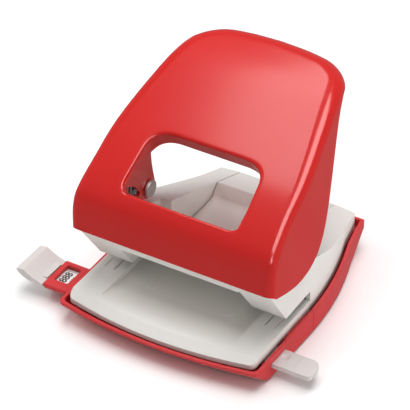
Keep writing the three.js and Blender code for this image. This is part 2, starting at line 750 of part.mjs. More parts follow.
// The stop is a hollowed wing, held on the rail's end by a hub.
const STOP_WIDTH = 20.4;
const HUB_TOP_Z = 10.3;
function guideStop() {
  const shape = new THREE.Shape();
  const tip = GUIDE_STOP_X - 12.4;
  const toe = GUIDE_STOP_X + 1.8;
  const hub = GUIDE_STOP_X - 3.5;
  shape.moveTo(tip, 13.2);
  shape.quadraticCurveTo(tip + 1.4, 9.6, hub, 8.4);
  shape.lineTo(toe, 8.3);
  shape.lineTo(toe, 9.4);
  shape.quadraticCurveTo(GUIDE_STOP_X - 3, 10.4, GUIDE_STOP_X - 8.3, 13.9);
  const geometry = extrude(shape, STOP_WIDTH, 1, 6).rotateX(Math.PI / 2);
  geometry.translate(0, RAIL_Y - 1.5 + STOP_WIDTH / 2, 0);
  const hubTop = box(hub, toe, RAIL_Y - 7, RAIL_Y + 4.6, 8.6, HUB_TOP_Z);
  const hubBase = box(hub, toe, RAIL_Y - 7.2, RAIL_Y + 7.2, FRAME_BOTTOM_Z, 8.6);
  const socket = box(
    RAIL_LEFT_X - GAP,
    -50,
    RAIL_Y - RAIL_SIDE - GAP,
    RAIL_Y + RAIL_SIDE + GAP,
    RAIL_Z - GAP,
    RAIL_Z + RAIL_THICK + GAP,
  );
  return cut(join([solidOf(geometry), hubTop, hubBase]), [socket]);
}

// A bowed steel leaf that presses on the rail and clicks at each paper size
function railSpring() {
  return mappedBox(8, 1, 1, (u, v, w) => {
    const lift = 2.2 * (2 * u - 1) ** 2;
    const z = RAIL_Z + RAIL_THICK + 0.4 + lift + 0.5 * w;
    return [mix(-11, 11, u), mix(RAIL_Y - 2.5, RAIL_Y + 2.5, v), z];
  });
}

function screw([x, y]) {
  const head = barZ(2.8, x, y, 0.9, 1.9, 12);
  const shank = barZ(1.3, x, y, 1.5, 11.6, 8);
  const crossSlots = [
    box(x - 1.6, x + 1.6, y - 0.3, y + 0.3, 0, 1.4),
    box(x - 0.3, x + 0.3, y - 1.6, y + 1.6, 0, 1.4),
  ];
  return cut(head.add(shank), crossSlots);
}

const foot = ([x, y]) => barZ(FOOT_R, x, y, 0, TRAY_FLOOR_Z + 0.6);

// Assembly

add("base_tray", baseTray(), plastic(TRAY_RED));
add("chip_tray", chipTray(), plastic(TRAY_RED));
add("deck", deck(), plastic(LIGHT_GREY));
add("housing", housing(), plastic(LIGHT_GREY));
add("centre_cover", centreCover(), plastic(LIGHT_GREY));
add("die_plate", diePlate(), metal(STEEL_GREY));
addPair("punch_frame", frameSide(), metal(STEEL_GREY));
addPair("die", die(), metal(DARK_STEEL));
addPair("punch", punchPin(), metal(STEEL_GREY));
addPair("return_spring", springSleeve(), metal(STEEL_GREY));
addPair("spring_seat", springSeat(), metal(STEEL_GREY));
addPair("pivot_pin", headedPin(PIVOT_PIN_R, PIVOT_PIN_END, PIVOT_Y, PIVOT_Z, 47.1), metal(STEEL_GREY));
addPair("pivot_clip", retainingClip(PIVOT_PIN_R, 47.1, PIVOT_Y, PIVOT_Z), metal(DARK_STEEL));
addPair("drive_pin", headedPin(PIN_R, DRIVE_PIN_END, DRIVE_Y, DRIVE_Z, 44.3), metal(STEEL_GREY));
addPair("drive_clip", retainingClip(PIN_R, 44.3, DRIVE_Y, DRIVE_Z), metal(DARK_STEEL));
add("handle", handle(), paint(RED));
add("guide_rail", guideRail(), plastic(LIGHT_GREY));
add("guide_stop", guideStop(), plastic(LIGHT_GREY));
add("format_strip", formatStrip(), plastic(LABEL_WHITE));
add("rail_spring", railSpring(), metal(STEEL_GREY));
SCREW_PLACES.forEach((place, i) => addPair("screw_" + (i + 1), screw(place), metal(DARK_STEEL)));
add("grip_strip", gripBlock(0, 0, TRAY_FLOOR_Z + GRIP_DEPTH - GAP), plastic(RUBBER));
FRONT_FEET.forEach((place, i) => addPair("foot_" + (i + 1), foot(place), plastic(RUBBER)));
REAR_FEET.forEach((place) => addPair("tray_foot", foot(place), plastic(RUBBER)));

export default punch;
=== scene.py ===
import json
import math

import bmesh
import bpy
from mathutils import Matrix, Vector

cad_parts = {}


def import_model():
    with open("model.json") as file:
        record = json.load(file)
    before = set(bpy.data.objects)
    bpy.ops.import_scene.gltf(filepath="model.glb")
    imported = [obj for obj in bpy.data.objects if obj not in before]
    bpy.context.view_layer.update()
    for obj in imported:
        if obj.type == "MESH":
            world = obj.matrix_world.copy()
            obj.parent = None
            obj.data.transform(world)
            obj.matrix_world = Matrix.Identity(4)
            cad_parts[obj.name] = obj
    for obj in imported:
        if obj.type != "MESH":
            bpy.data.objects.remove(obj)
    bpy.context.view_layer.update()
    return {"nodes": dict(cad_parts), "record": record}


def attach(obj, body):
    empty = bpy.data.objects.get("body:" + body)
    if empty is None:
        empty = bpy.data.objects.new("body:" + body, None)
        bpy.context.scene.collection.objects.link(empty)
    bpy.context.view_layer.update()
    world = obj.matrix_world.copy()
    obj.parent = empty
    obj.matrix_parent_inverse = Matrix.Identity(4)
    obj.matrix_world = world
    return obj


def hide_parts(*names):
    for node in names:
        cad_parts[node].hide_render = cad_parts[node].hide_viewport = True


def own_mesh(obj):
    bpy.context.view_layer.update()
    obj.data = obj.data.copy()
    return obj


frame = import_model()
NODES = frame["nodes"]

MM = 0.001
SHIFT_Y = 17.5  # from the footprint's middle, which the lengths below are measured from, to the frame


# Materials


def srgb(hex_code):
    values = [int(hex_code[i:i + 2], 16) / 255 for i in (1, 3, 5)]
    return [v / 12.92 if v < 0.04045 else ((v + 0.055) / 1.055) ** 2.4 for v in values] + [1]


class Material:
    """A node tree with short calls for what most surfaces need."""

    def __init__(self, name):
        self.material = bpy.data.materials.new(name)
        self.material.use_nodes = True
        self.tree = self.material.node_tree
        self.shader = self.tree.nodes["Principled BSDF"]
        self.coordinates = self.node("ShaderNodeTexCoord").outputs["Object"]

    def node(self, kind, **settings):
        n = self.tree.nodes.new(kind)
        for key, value in settings.items():
            setattr(n, key, value)
        return n

    def link(self, a, b):
        self.tree.links.new(a, b)

    def put(self, **values):
        for key, value in values.items():
            self.shader.inputs[key.replace("_", " ")].default_value = value

    def noise(self, scale, detail, stretch=(1, 1, 1), roughness=0.5):
        mapping = self.node("ShaderNodeMapping")
        mapping.inputs["Scale"].default_value = stretch
        self.link(self.coordinates, mapping.inputs["Vector"])
        noise = self.node("ShaderNodeTexNoise")
        noise.inputs["Scale"].default_value = scale
        noise.inputs["Detail"].default_value = detail
        noise.inputs["Roughness"].default_value = roughness
        self.link(mapping.outputs["Vector"], noise.inputs["Vector"])
        return noise.outputs["Fac"]

    def ramp(self, factor, low, high):
        ramp = self.node("ShaderNodeValToRGB")
        ramp.color_ramp.elements[0].color = low
        ramp.color_ramp.elements[1].color = high
        self.link(factor, ramp.inputs["Fac"])
        return ramp.outputs["Color"]

    def span(self, factor, low, high):
        span = self.node("ShaderNodeMapRange")
        span.inputs["To Min"].default_value = low
        span.inputs["To Max"].default_value = high
        self.link(factor, span.inputs["Value"])
        return span.outputs["Result"]

    def colour(self, output):
        self.link(output, self.shader.inputs["Base Color"])

    def rough(self, output):
        self.link(output, self.shader.inputs["Roughness"])

    def bumps(self, *layers):
        """Each layer is (height, strength, distance in mm)."""
        normal = None
        for height, strength, distance in layers:
            bump = self.node("ShaderNodeBump")
            bump.inputs["Strength"].default_value = strength
            bump.inputs["Distance"].default_value = distance * MM
            self.link(height, bump.inputs["Height"])
            if normal:
                self.link(normal, bump.inputs["Normal"])
            normal = bump.outputs["Normal"]
        self.link(normal, self.shader.inputs["Normal"])


def tint(hex_code, factor):
    c = srgb(hex_code)
    return [min(1, v * factor) for v in c[:3]] + [1]


def red_paint():
    m = Material("red_paint")
    m.colour(m.ramp(m.noise(22, 2), tint("#c6201d", 0.96), tint("#c6201d", 1.04)))
    m.rough(m.span(m.noise(90, 3), 0.16, 0.22))
    m.bumps((m.noise(700, 2), 0.02, 0.05), (m.noise(3600, 2), 0.03, 0.02))
    m.put(Metallic=0.0, Coat_Weight=0.15, Coat_Roughness=0.1, IOR=1.45, Specular_IOR_Level=0.45)
    return m.material


def moulded(name, hex_code, low, high, grain, strength, clouds):
    """Moulded plastic with a fine spark eroded grain and faint flow clouds."""
    m = Material(name)
    m.colour(m.ramp(m.noise(28, 4), tint(hex_code, 1 - clouds), tint(hex_code, 1 + clouds)))
    m.rough(m.span(m.noise(160, 4), low, high))
    m.bumps((m.noise(grain, 3, roughness=0.65), strength, 0.03), (m.noise(45, 2), 0.05, 0.15))
    m.put(IOR=1.47)
    return m.material


def steel(name, hex_code, low, high, stretch, scale=240, metallic=1.0):
    m = Material(name)
    brushed = m.noise(scale, 5, stretch, 0.7)
    m.colour(m.ramp(brushed, tint(hex_code, 0.82), tint(hex_code, 1.1)))
    m.rough(m.span(m.noise(scale * 1.4, 4, stretch), low, high))
    m.bumps((brushed, 0.12, 0.03))
    m.put(Metallic=metallic)
    return m.material


def rubber():
    m = Material("black_rubber")
    m.colour(m.ramp(m.noise(90, 4), srgb("#232324"), srgb("#343435")))
    m.rough(m.span(m.noise(400, 3), 0.7, 0.9))
    m.bumps((m.noise(2200, 3), 0.3, 0.05))
    return m.material


MATERIALS = {
    "red_paint": red_paint(),
    "red_plastic": moulded("red_plastic", "#cf3236", 0.34, 0.42, 1900, 0.08, 0.02),
    "grey_plastic": moulded("grey_plastic", "#e3e1dc", 0.48, 0.56, 2600, 0.1, 0.01),
    "guide_plastic": moulded("guide_plastic", "#d4cecb", 0.38, 0.46, 2200, 0.08, 0.012),
    "printed_strip": moulded("printed_strip", "#f4f4f2", 0.3, 0.42, 3000, 0.05, 0.02),
    "zinc_steel": steel("zinc_steel", "#9a9a98", 0.34, 0.52, (1, 1, 8)),
    "tool_steel": steel("tool_steel", "#8a8a8c", 0.22, 0.36, (14, 14, 1)),
    "pin_steel": steel("pin_steel", "#b9b8b6", 0.36, 0.46, (1, 6, 6), 420, 0.55),
    "spring_steel": steel("spring_steel", "#b0b0b2", 0.2, 0.34, (6, 6, 6)),
    "black_steel": steel("black_steel", "#3a3a3c", 0.4, 0.56, (3, 3, 3)),
    "black_rubber": rubber(),
}
SLOTS = {row["node"]: row["material_slot"] for row in frame["record"]["subparts"]}


def dress(obj, slot):
    obj.data.materials.clear()
    obj.data.materials.append(MATERIALS[slot])


for name, obj in NODES.items():
    dress(obj, SLOTS[name])


# Mesh work, in millimetres from the footprint's middle


def mix(a, b, t):
    return a + (b - a) * t


def clamp01(t):
    return max(0, min(1, t))


def catmull(points, steps):
    """Points along a curve through the given ones, with equal steps of its parameter."""
    out = []
    last = len(points) - 1
    for i in range(steps + 1):
        t = i / steps * last
        k = min(int(t), last - 1)
        f = t - k
        a, b, c, d = (points[max(0, min(last, k + j))] for j in (-1, 0, 1, 2))
        out.append(tuple(
            0.5 * (2 * q + (r - p) * f + (2 * p - 5 * q + 4 * r - s) * f * f
                   + (3 * q - p - 3 * r + s) * f ** 3)
            for p, q, r, s in zip(a, b, c, d)))
    return out


def spread(points, count):
    """The same path with points at equal distances."""
    lengths = [0]
    for a, b in zip(points, points[1:]):
        lengths.append(lengths[-1] + math.dist(a, b))
    out = []
    k = 0
    for i in range(count):
        want = lengths[-1] * i / (count - 1)
        while k < len(points) - 2 and lengths[k + 1] < want:
            k += 1
        f = (want - lengths[k]) / max(1e-9, lengths[k + 1] - lengths[k])
        out.append(tuple(p + (q - p) * f for p, q in zip(points[k], points[k + 1])))
    return out


def lookup(pairs, x):
    """Linear reading of a table of (x, y) pairs in rising x."""
    if x <= pairs[0][0]:
        return pairs[0][1]
    for (x0, y0), (x1, y1) in zip(pairs, pairs[1:]):
        if x <= x1:
            return y0 + (y1 - y0) * (x - x0) / max(1e-9, x1 - x0)
    return pairs[-1][1]


def arc(cy, cz, radius, start, end):
    steps = 16
    return [(cy + radius * math.cos(start + (end - start) * i / steps),
             cz + radius * math.sin(start + (end - start) * i / steps)) for i in range(steps + 1)]


def quad_curve(a, b, c, steps):
    """The quadratic curve from a towards b to c, without its first point."""
    return [tuple((1 - t) ** 2 * p + 2 * t * (1 - t) * q + t * t * r for p, q, r in zip(a, b, c))
            for t in (i / steps for i in range(1, steps + 1))]


def new_object(name, vertices, faces):
    mesh = bpy.data.meshes.new(name)
    mesh.from_pydata([tuple(v) for v in vertices], [], faces)
    mesh.validate()
    obj = bpy.data.objects.new(name, mesh)
    bpy.context.scene.collection.objects.link(obj)
    return obj


def from_bmesh(name, bm):
    mesh = bpy.data.meshes.new(name)
    bm.to_mesh(mesh)
    bm.free()
    obj = bpy.data.objects.new(name, mesh)
    bpy.context.scene.collection.objects.link(obj)
    return obj


def apply_modifiers(obj):
    bpy.context.view_layer.update()
    graph = bpy.context.evaluated_depsgraph_get()
    mesh = bpy.data.meshes.new_from_object(obj.evaluated_get(graph))
    obj.modifiers.clear()
    old = obj.data
    obj.data = mesh
    bpy.data.meshes.remove(old)


def smooth(obj, degrees):
    obj.data.polygons.foreach_set("use_smooth", [True] * len(obj.data.polygons))
    obj.data.set_sharp_from_angle(angle=math.radians(degrees))


def place(obj, body, slot, *replaced, degrees=35, weigh=True):
    """Turns a finished mesh from millimetres into the frame's metres and hands it over."""
    obj.data.transform(Matrix.Scale(MM, 4) @ Matrix.Translation((0, SHIFT_Y, 0)))
    smooth(obj, degrees)
    if weigh:
        weighted = obj.modifiers.new("normals", "WEIGHTED_NORMAL")
        weighted.keep_sharp = True
        apply_modifiers(obj)
    dress(obj, slot)
    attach(obj, body)
    if replaced:
        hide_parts(*replaced)
    return obj


# Handle

LEAN = math.pi / 6
FOOT_Y, FOOT_Z = -48.2, 45.5
HANDLE_STEEL = 1.2
COLLAR_BEND = 1.4
COUNT_BOTTOM, COUNT_SIDES, RINGS, BENDS, FLANK_ROWS, COLLAR_BENDS, COLLAR_ROWS = 61, 241, 36, 8, 14, 5, 4
# (y, z) of the face on the middle plane and of the flank's lower edge, and (x, distance up the lean)
# of the outline
FACE_POINTS = [
    (-48.2, 45.5), (-47.4, 57.5), (-42.2, 67.2), (-22.8, 80.8), (7.5, 97.3), (28.1, 106.1), (54, 111),
]
FLANK_POINTS = [
    (-47.6, 44), (-27, 38), (-14, 37), (-6, 39.2), (-0.2, 44.4), (6.2, 55), (15.8, 73.8),
    (26.8, 93.6), (36, 101.8), (45, 104.4), (54.6, 104.6),
]
OUTLINE = [
    (52.7, -20), (52.4, 10), (51, 30), (50.1, 50), (46.4, 74.5), (41.5, 99),
    (36.8, 108.3), (27.8, 114.8), (15.5, 117.3), (0, 118.2),
]


def to_lean(y, z):
    dy, dz = y - FOOT_Y, z - FOOT_Z
    return dy * math.cos(LEAN) + dz * math.sin(LEAN), -dy * math.sin(LEAN) + dz * math.cos(LEAN)


def from_lean(x, s, n):
    y = FOOT_Y + s * math.cos(LEAN) - n * math.sin(LEAN)
    return x, y, FOOT_Z + s * math.sin(LEAN) + n * math.cos(LEAN)


FACE = [to_lean(y, z) for y, z in catmull(FACE_POINTS, 180)]
FLANK = [to_lean(y, z) for y, z in catmull(FLANK_POINTS, 180)]


def bend_radius(s):
    """The bend along the handle's side opens from the foot to the top."""
    return 4.3 + 2.4 * clamp01((s - 30) / 80)


def side_points(share, count):
    """The outline in the lean plane, in by a share of the bend, from the lower right corner to the left."""
    dense = catmull(OUTLINE, 400)
    moved = []
    for i, (x, s) in enumerate(dense):
        ax, as_ = dense[max(0, i - 1)]
        bx, bs = dense[min(len(dense) - 1, i + 1)]
        length = math.hypot(bx - ax, bs - as_)
        inset = share * bend_radius(s)
        moved.append((x - (bs - as_) / length * inset, s + (bx - ax) / length * inset))
    right = [p for p in moved if p[1] >= 0]
    corner = (lookup(sorted((s, x) for x, s in moved[:200]), 0), 0)
    right = [corner] + right
    path = right + [(-x, s) for x, s in reversed(right[:-1])]
    return spread(path, count)


def window_points(grow):
    """The window's outline in the lean plane, larger by a margin: its bottom edge, then the rest."""
    bottom, top = 18.6 - grow, 51.6 + grow
    low_half, high_half = 30.5 + grow, 28.6 + grow
    low, high = 5.5, 10  # how far its lower and upper corners reach
    right = [(low_half - low, bottom)]
    right += quad_curve(right[0], (low_half, bottom), (low_half - 0.3, bottom + low), 12)
    right.append((high_half + 0.6, top - high))
    right += quad_curve(right[-1], (high_half, top), (high_half - high - 2, top), 12)
    right.append((0, top))
    path = right + [(-x, s) for x, s in reversed(right[:-1])]
    edge = [(low - low_half, bottom), (low_half - low, bottom)]
    return spread(edge, COUNT_BOTTOM)[:-1] + spread(path, COUNT_SIDES)[:-1]


def handle():
    vertices = []
    faces = []

    def ring(points):
        start = len(vertices)
        vertices.extend(points)
        return list(range(start, len(vertices)))

    def stitch(a, b, closed):
        count = len(a)
        for i in range(count if closed else count - 1):
            j = (i + 1) % count
            faces.append((a[i], a[j], b[j], b[i]))

    def face_ring(points):
        return ring([from_lean(x, s, lookup(FACE, s)) for x, s in points])

    side = side_points(1, COUNT_SIDES)
    outer = spread([side[-1], side[0]], COUNT_BOTTOM)[:-1] + side[:-1]
    inner = window_points(COLLAR_BEND)
    rows = []
    for k in range(RINGS + 1):
        rows.append(face_ring([
            tuple(mix(p, q, k / RINGS) for p, q in zip(a, b)) for a, b in zip(outer, inner)]))
    for a, b in zip(rows, rows[1:]):
        stitch(a, b, True)

    # the bend from the face into the flank, and the flank
    previous = rows[0][COUNT_BOTTOM - 1:] + [rows[0][0]]
    for k in range(1, BENDS + 1):
        angle = math.pi / 2 * k / BENDS
        edge = []
        for x, s in side_points(1 - math.sin(angle), COUNT_SIDES):
            drop = bend_radius(s) * (1 - math.cos(angle))
            up = clamp01(s / 12)
            edge.append((x, s + drop * 0.6 * (1 - up), lookup(FACE, s) - drop * mix(0.8, 1, up)))
        row = ring([from_lean(*p) for p in edge])
        stitch(row, previous, False)
        previous = row
    for k in range(1, FLANK_ROWS + 1):
        row = ring([
            from_lean(x, s, mix(high, min(high - 0.2, lookup(FLANK, s)), k / FLANK_ROWS))
            for x, s, high in edge])
        stitch(row, previous, False)
        previous = row

    # the bend into the window's collar, and the collar
    previous = rows[-1]
    for k in range(1, COLLAR_BENDS + 1):
        angle = math.pi / 2 * k / COLLAR_BENDS
        drop = COLLAR_BEND * (1 - math.cos(angle))
        points = window_points(COLLAR_BEND * (1 - math.sin(angle)))
        row = ring([from_lean(x, s, lookup(FACE, s) - drop) for x, s in points])
        stitch(previous, row, True)
        previous = row
    for k in range(1, COLLAR_ROWS + 1):
        row = ring([
            from_lean(x, s, lookup(FACE, s) - COLLAR_BEND - collar_depth(s) * k / COLLAR_ROWS)
            for x, s in window_points(0)])
        stitch(previous, row, True)
        previous = row

    obj = new_object("handle_shell", vertices, faces)
    bm = bmesh.new()
    bm.from_mesh(obj.data)
    bmesh.ops.remove_doubles(bm, verts=bm.verts, dist=0.01)
    bmesh.ops.recalc_face_normals(bm, faces=bm.faces)
    top = max(bm.faces, key=lambda f: f.calc_center_median().z)
    if top.normal.z < 0:
        bmesh.ops.reverse_faces(bm, faces=bm.faces)
    bm.to_mesh(obj.data)
    bm.free()
    solidify = obj.modifiers.new("plate", "SOLIDIFY")
    solidify.thickness = HANDLE_STEEL
    solidify.offset = -1
    solidify.use_even_offset = True
    apply_modifiers(obj)
    bevel = obj.modifiers.new("edge", "BEVEL")
    bevel.width = 0.3
    bevel.segments = 2
    bevel.limit_method = "ANGLE"
    bevel.angle_limit = math.radians(50)
    apply_modifiers(obj)
    clean(obj)
    return place(obj, "handle", "red_paint", "handle")


def collar_depth(s):
    """The window's fold is shallow along the bottom and deepest along the top."""
    rise = clamp01((s - 26) / 20)
    return 0.9 + 6.4 * rise * rise * (3 - 2 * rise)


def outward(obj):
    bm = bmesh.new()
    bm.from_mesh(obj.data)
    bmesh.ops.recalc_face_normals(bm, faces=bm.faces)
    bm.to_mesh(obj.data)
    bm.free()
    return obj


def prism(name, points, axis, lo, hi):
    """A closed solid from an outline across an axis: (y, z) across x, or (x, y) across z."""
    def at(p, h):
        return (h, p[0], p[1]) if axis == "x" else (p[0], p[1], h)
    count = len(points)
    vertices = [at(p, lo) for p in points] + [at(p, hi) for p in points]
    faces = [tuple(range(count)), tuple(reversed(range(count, 2 * count)))]
    faces += [(i, i + count, (i + 1) % count + count, (i + 1) % count) for i in range(count)]
    return outward(new_object(name, vertices, faces))


def cylinder(name, axis, radius, lo, hi, centre, segments):
    circle = [(centre[0] + radius * math.cos(2 * math.pi * i / segments),
               centre[1] + radius * math.sin(2 * math.pi * i / segments)) for i in range(segments)]
    return prism(name, circle, axis, lo, hi)


def box(name, x0, x1, y0, y1, z0, z1):
    return prism(name, [(x0, y0), (x1, y0), (x1, y1), (x0, y1)], "z", z0, z1)


def carve(obj, tools, operation="DIFFERENCE"):
    """Cuts, joins or intersects a solid with others, which it uses up."""
    for tool in tools:
        modifier = obj.modifiers.new("b", "BOOLEAN")
        modifier.operation = operation
        modifier.solver = "MANIFOLD"
        modifier.object = tool
    apply_modifiers(obj)
    for tool in tools:
        bpy.data.objects.remove(tool)
    return obj


def round_edges(obj, width, segments, degrees=30, shortest=0, clamp=True):
    """Joins flat faces and rounds every edge sharper than an angle."""
    bm = bmesh.new()
    bm.from_mesh(obj.data)
    bmesh.ops.remove_doubles(bm, verts=bm.verts, dist=0.004)
    bmesh.ops.dissolve_limit(
        bm, angle_limit=math.radians(1), verts=bm.verts, edges=bm.edges, use_dissolve_boundaries=False)
    edges = [
        e for e in bm.edges
        if len(e.link_faces) == 2 and e.calc_face_angle(0) > math.radians(degrees)
        and e.calc_length() > shortest]
    bmesh.ops.bevel(
        bm, geom=edges, offset=width, offset_type="OFFSET", segments=segments, profile=0.5,
        affect="EDGES", clamp_overlap=clamp)
    bm.to_mesh(obj.data)
    bm.free()
    return obj


def round_edges_of(obj, width, axis):
    """Rounds only the edges that run along one axis."""
    index = "xyz".index(axis)
    bm = bmesh.new()
    bm.from_mesh(obj.data)
    edges = [e for e in bm.edges
             if abs((e.verts[1].co - e.verts[0].co).normalized()[index]) > 0.99]
    bmesh.ops.bevel(bm, geom=edges, offset=width, segments=5, profile=0.5, affect="EDGES")
    bm.to_mesh(obj.data)
    bm.free()


def clean(obj, distance=0.003):
    """Merges points closer than a distance and drops the faces that this empties."""
    bm = bmesh.new()
    bm.from_mesh(obj.data)
    bmesh.ops.remove_doubles(bm, verts=bm.verts, dist=distance)
    bmesh.ops.dissolve_degenerate(bm, edges=bm.edges, dist=distance)
    bm.to_mesh(obj.data)
    bm.free()


EAR_X = 29.6
STEEL = 1.5
PIVOT = (-33, 52.5)
DRIVE = (-17, 56.4)


def ear(side):
    points = [(-14, 83.6)]
    points += quad_curve((-14, 83.6), (-16, 74), (DRIVE[0] + 5.4, DRIVE[1] + 1), 12)
    points += arc(*DRIVE, 5.4, 0, -math.pi / 2 - 0.5)
    points += quad_curve(points[-1], (-25, 55.4), (PIVOT[0] + 3.8, PIVOT[1] - 3.8), 8)
    points += arc(*PIVOT, 5, -math.pi / 4, -math.pi)[1:]
    points += [(-39.6, 64), (-40, 68.6)]
    x0, x1 = sorted((side * EAR_X, side * (EAR_X + STEEL)))
    name = "handle_ear_" + ("right" if side > 0 else "left")
    plate = prism(name, points, "x", x0, x1)
    holes = [
        cylinder("t", "x", 2.8, x0 - 2, x1 + 2, PIVOT, 32),
        cylinder("t", "x", 2.35, x0 - 2, x1 + 2, DRIVE, 32),
    ]
    relief = [
        (-33.8, 67.2), (-29.1, 64.4), (-24.4, 58.4), (-24.8, 56.9), (-26.6, 57.4), (-32.8, 62.6),
        (-34.2, 64.8),
    ]
    holes.append(prism("t", relief, "x", x0 - 2, x1 + 2))
    round_edges_of(holes[-1], 0.7, "x")
    carve(plate, holes)
    round_edges(plate, 0.35, 2)
    return place(plate, "handle", "red_paint")


handle()
ear(1)
ear(-1)


# Plan outline shared by the tray, the deck and the housing

TRAY_FRONT_Y, TRAY_REAR_Y, TRAY_HALF_WIDTH, TRAY_BOW = -60, 63.2, 52.3, 5.3
SEAM_Y = -8
BODY_INSET = 3.4
GAP = 0.3
HOLE_X, PUNCH_Y, STOP_Y = 40, -17.5, -5.5
DECK_Z, SLOT_TOP_Z, DECK_REAR_Y = 15.2, 20.2, 6
DIE_PLATE_TOP = 12.4
LEAN_HEIGHT, FRONT_LEAN, REAR_LEAN = 9.5, 10.5, 13
FLOOR_Z, TRAY_WALL = 0.8, 1.5
FEET, TRAY_FOOT, PAD_RADIUS, PAD_TOP_Z = [(42, -42), (42, -15)], (34, 38), 5, FLOOR_Z + 0.6
GRIP_HALF_X, GRIP_HALF_Y = 17, 4
SCREWS = [(30, -50.2), (20, -30)]
RAIL_Y, RAIL_HALF, RAIL_Z, RAIL_THICK = -40, 6, 5.5, 2.4


def plan(inset):
    """The outline seen from above, smaller by an inset, from the right front corner."""
    side, front, rear = TRAY_HALF_WIDTH - inset, TRAY_FRONT_Y + inset, TRAY_REAR_Y - inset
    corner = 3
    half = [(side - corner, front - 0.3)]
    half += quad_curve(half[-1], (side, front), (side, front + corner), 6)
    half.append((side, SEAM_Y))
    half += quad_curve(half[-1], (side - 0.3, 18), (43.2 - inset, 44), 16)
    half.append((39.9 - inset, rear))
    left = [(-x, y) for x, y in reversed(half)]
    bow = quad_curve(left[-1], (0, front - 2 * TRAY_BOW), half[0], 24)[:-1]
    return half + left + bow


def stacked(name, levels):
    """A closed solid whose outline is given at each of several heights, as (x, y, z) points."""
    count = len(levels[0])
    vertices = [p for level in levels for p in level]
    faces = [tuple(range(count)), tuple(range((len(levels) - 1) * count, len(levels) * count))]
    for k in range(len(levels) - 1):
        a, b = k * count, (k + 1) * count
        faces += [(a + i, a + (i + 1) % count, b + (i + 1) % count, b + i) for i in range(count)]
    return outward(new_object(name, vertices, faces))


def mapped(name, nx, ny, nz, where):
    """A box of cells whose corners, from 0 to 1 each way, go where the function says."""
    bm = bmesh.new()
    corners = {}

    def corner(i, j, k):
        if (i, j, k) not in corners:
            corners[i, j, k] = bm.verts.new(where(i / nx, j / ny, k / nz))
        return corners[i, j, k]

    def quad(*keys):
        bm.faces.new([corner(*k) for k in keys])

    for i in range(nx):
        for j in range(ny):
            for k in (0, nz):
                quad((i, j, k), (i + 1, j, k), (i + 1, j + 1, k), (i, j + 1, k))
    for i in range(nx):
        for k in range(nz):
            for j in (0, ny):
                quad((i, j, k), (i + 1, j, k), (i + 1, j, k + 1), (i, j, k + 1))
    for j in range(ny):
        for k in range(nz):
            for i in (0, nx):
                quad((i, j, k), (i, j + 1, k), (i, j + 1, k + 1), (i, j, k + 1))
    bmesh.ops.recalc_face_normals(bm, faces=bm.faces)
    return from_bmesh(name, bm)


def both(make, *values):
    """What a function makes at the right, and again at the left."""
    return [make(1, *values), make(-1, *values)]


def side_box(side, x0, x1, *rest):
    a, b = sorted((side * x0, side * x1))
    return box("t", a, b, *rest)


def side_hole(side, radius, x, y, z0, z1, segments=32):
    return cylinder("t", "z", radius, z0, z1, (side * x, y), segments)


def lean(points, z):
    """The outline at a height: the tray's front and rear walls slope in below LEAN_HEIGHT."""
    share = clamp01(1 - z / LEAN_HEIGHT)
    moved = []
    for x, y in points:
        if y < -45:
            y += share * FRONT_LEAN
        if y > 50:
            y -= share * REAR_LEAN
        moved.append((x, y, z))
    return moved


def rim_z(y):
    return 12 + 0.025 * (y + 20)


def tray_shell(name, keep):
    outer, inner = plan(0), plan(TRAY_WALL)
    outside = stacked(name, [
        lean(outer, FLOOR_Z), lean(outer, LEAN_HEIGHT), [(x, y, rim_z(y)) for x, y in outer]])
    inside = stacked("t", [
        lean(inner, FLOOR_Z + 2), lean(inner, LEAN_HEIGHT), [(x, y, 20) for x, y in inner]])
    carve(outside, [inside])
    return carve(outside, [box("t", -70, 70, *keep, -1, 30)], "INTERSECT")


def guide_frame():
    top, low = 10, 4.4
    half = [(-32.4, low), (-30.6, low + 2.2), (-30.6, top - 1.6)]
    half += quad_curve(half[-1], (-30.6, top), (-32.2, top), 6)
    half.append((-49.8, top))
    half += quad_curve(half[-1], (-51.4, top), (-51.4, top - 1.4), 6)
    half += quad_curve(half[-1], (-50.2, 6.2), (-47.8, low), 8)
    return prism("t", half, "x", -66.2, -50.6)


def rail_tunnel():
    return box("t", -90, 90, RAIL_Y - RAIL_HALF - 0.6, RAIL_Y + RAIL_HALF + 0.6,
               RAIL_Z - GAP, RAIL_Z + RAIL_THICK + GAP)


def base_tray():
    tray = tray_shell("base_tray_shell", (-90, SEAM_Y - GAP / 2))
    bearer_top = DIE_PLATE_TOP - 2 - GAP
    carve(tray, [guide_frame()]
          + [s for x, y in SCREWS for s in both(side_hole, 2.8, x, y, FLOOR_Z + 1, 8.4)]
          + both(side_box, 45.7, 51.2, -29, -10, FLOOR_Z + 1, 9.2), "UNION")
    carve(tray, both(side_box, 45.7, 46.6, -29, -10, 9, bearer_top), "UNION")
    window = box("t", -63.8, -56.2, -46.2, -33.8, RAIL_Z, 20)
    round_edges_of(window, 0.9, "z")
    grip_x, grip_y = GRIP_HALF_X + GAP, GRIP_HALF_Y + GAP
    grip = box("t", -grip_x, grip_x, PUNCH_Y - grip_y, PUNCH_Y + grip_y, -1, PAD_TOP_Z + GAP)
    carve(tray, [window, rail_tunnel(), grip]
          + [s for x, y in SCREWS for s in both(side_hole, 3.1, x, y, -1, 2.2)]
          + [s for x, y in SCREWS for s in both(side_hole, 1.8, x, y, -1, 10)]
          + [s for x, y in FEET for s in both(side_hole, PAD_RADIUS + GAP, x, y, -1, PAD_TOP_Z + GAP)])
    round_edges(tray, 0.45, 2, 40)
    return place(tray, "base", "red_plastic", "base_tray")


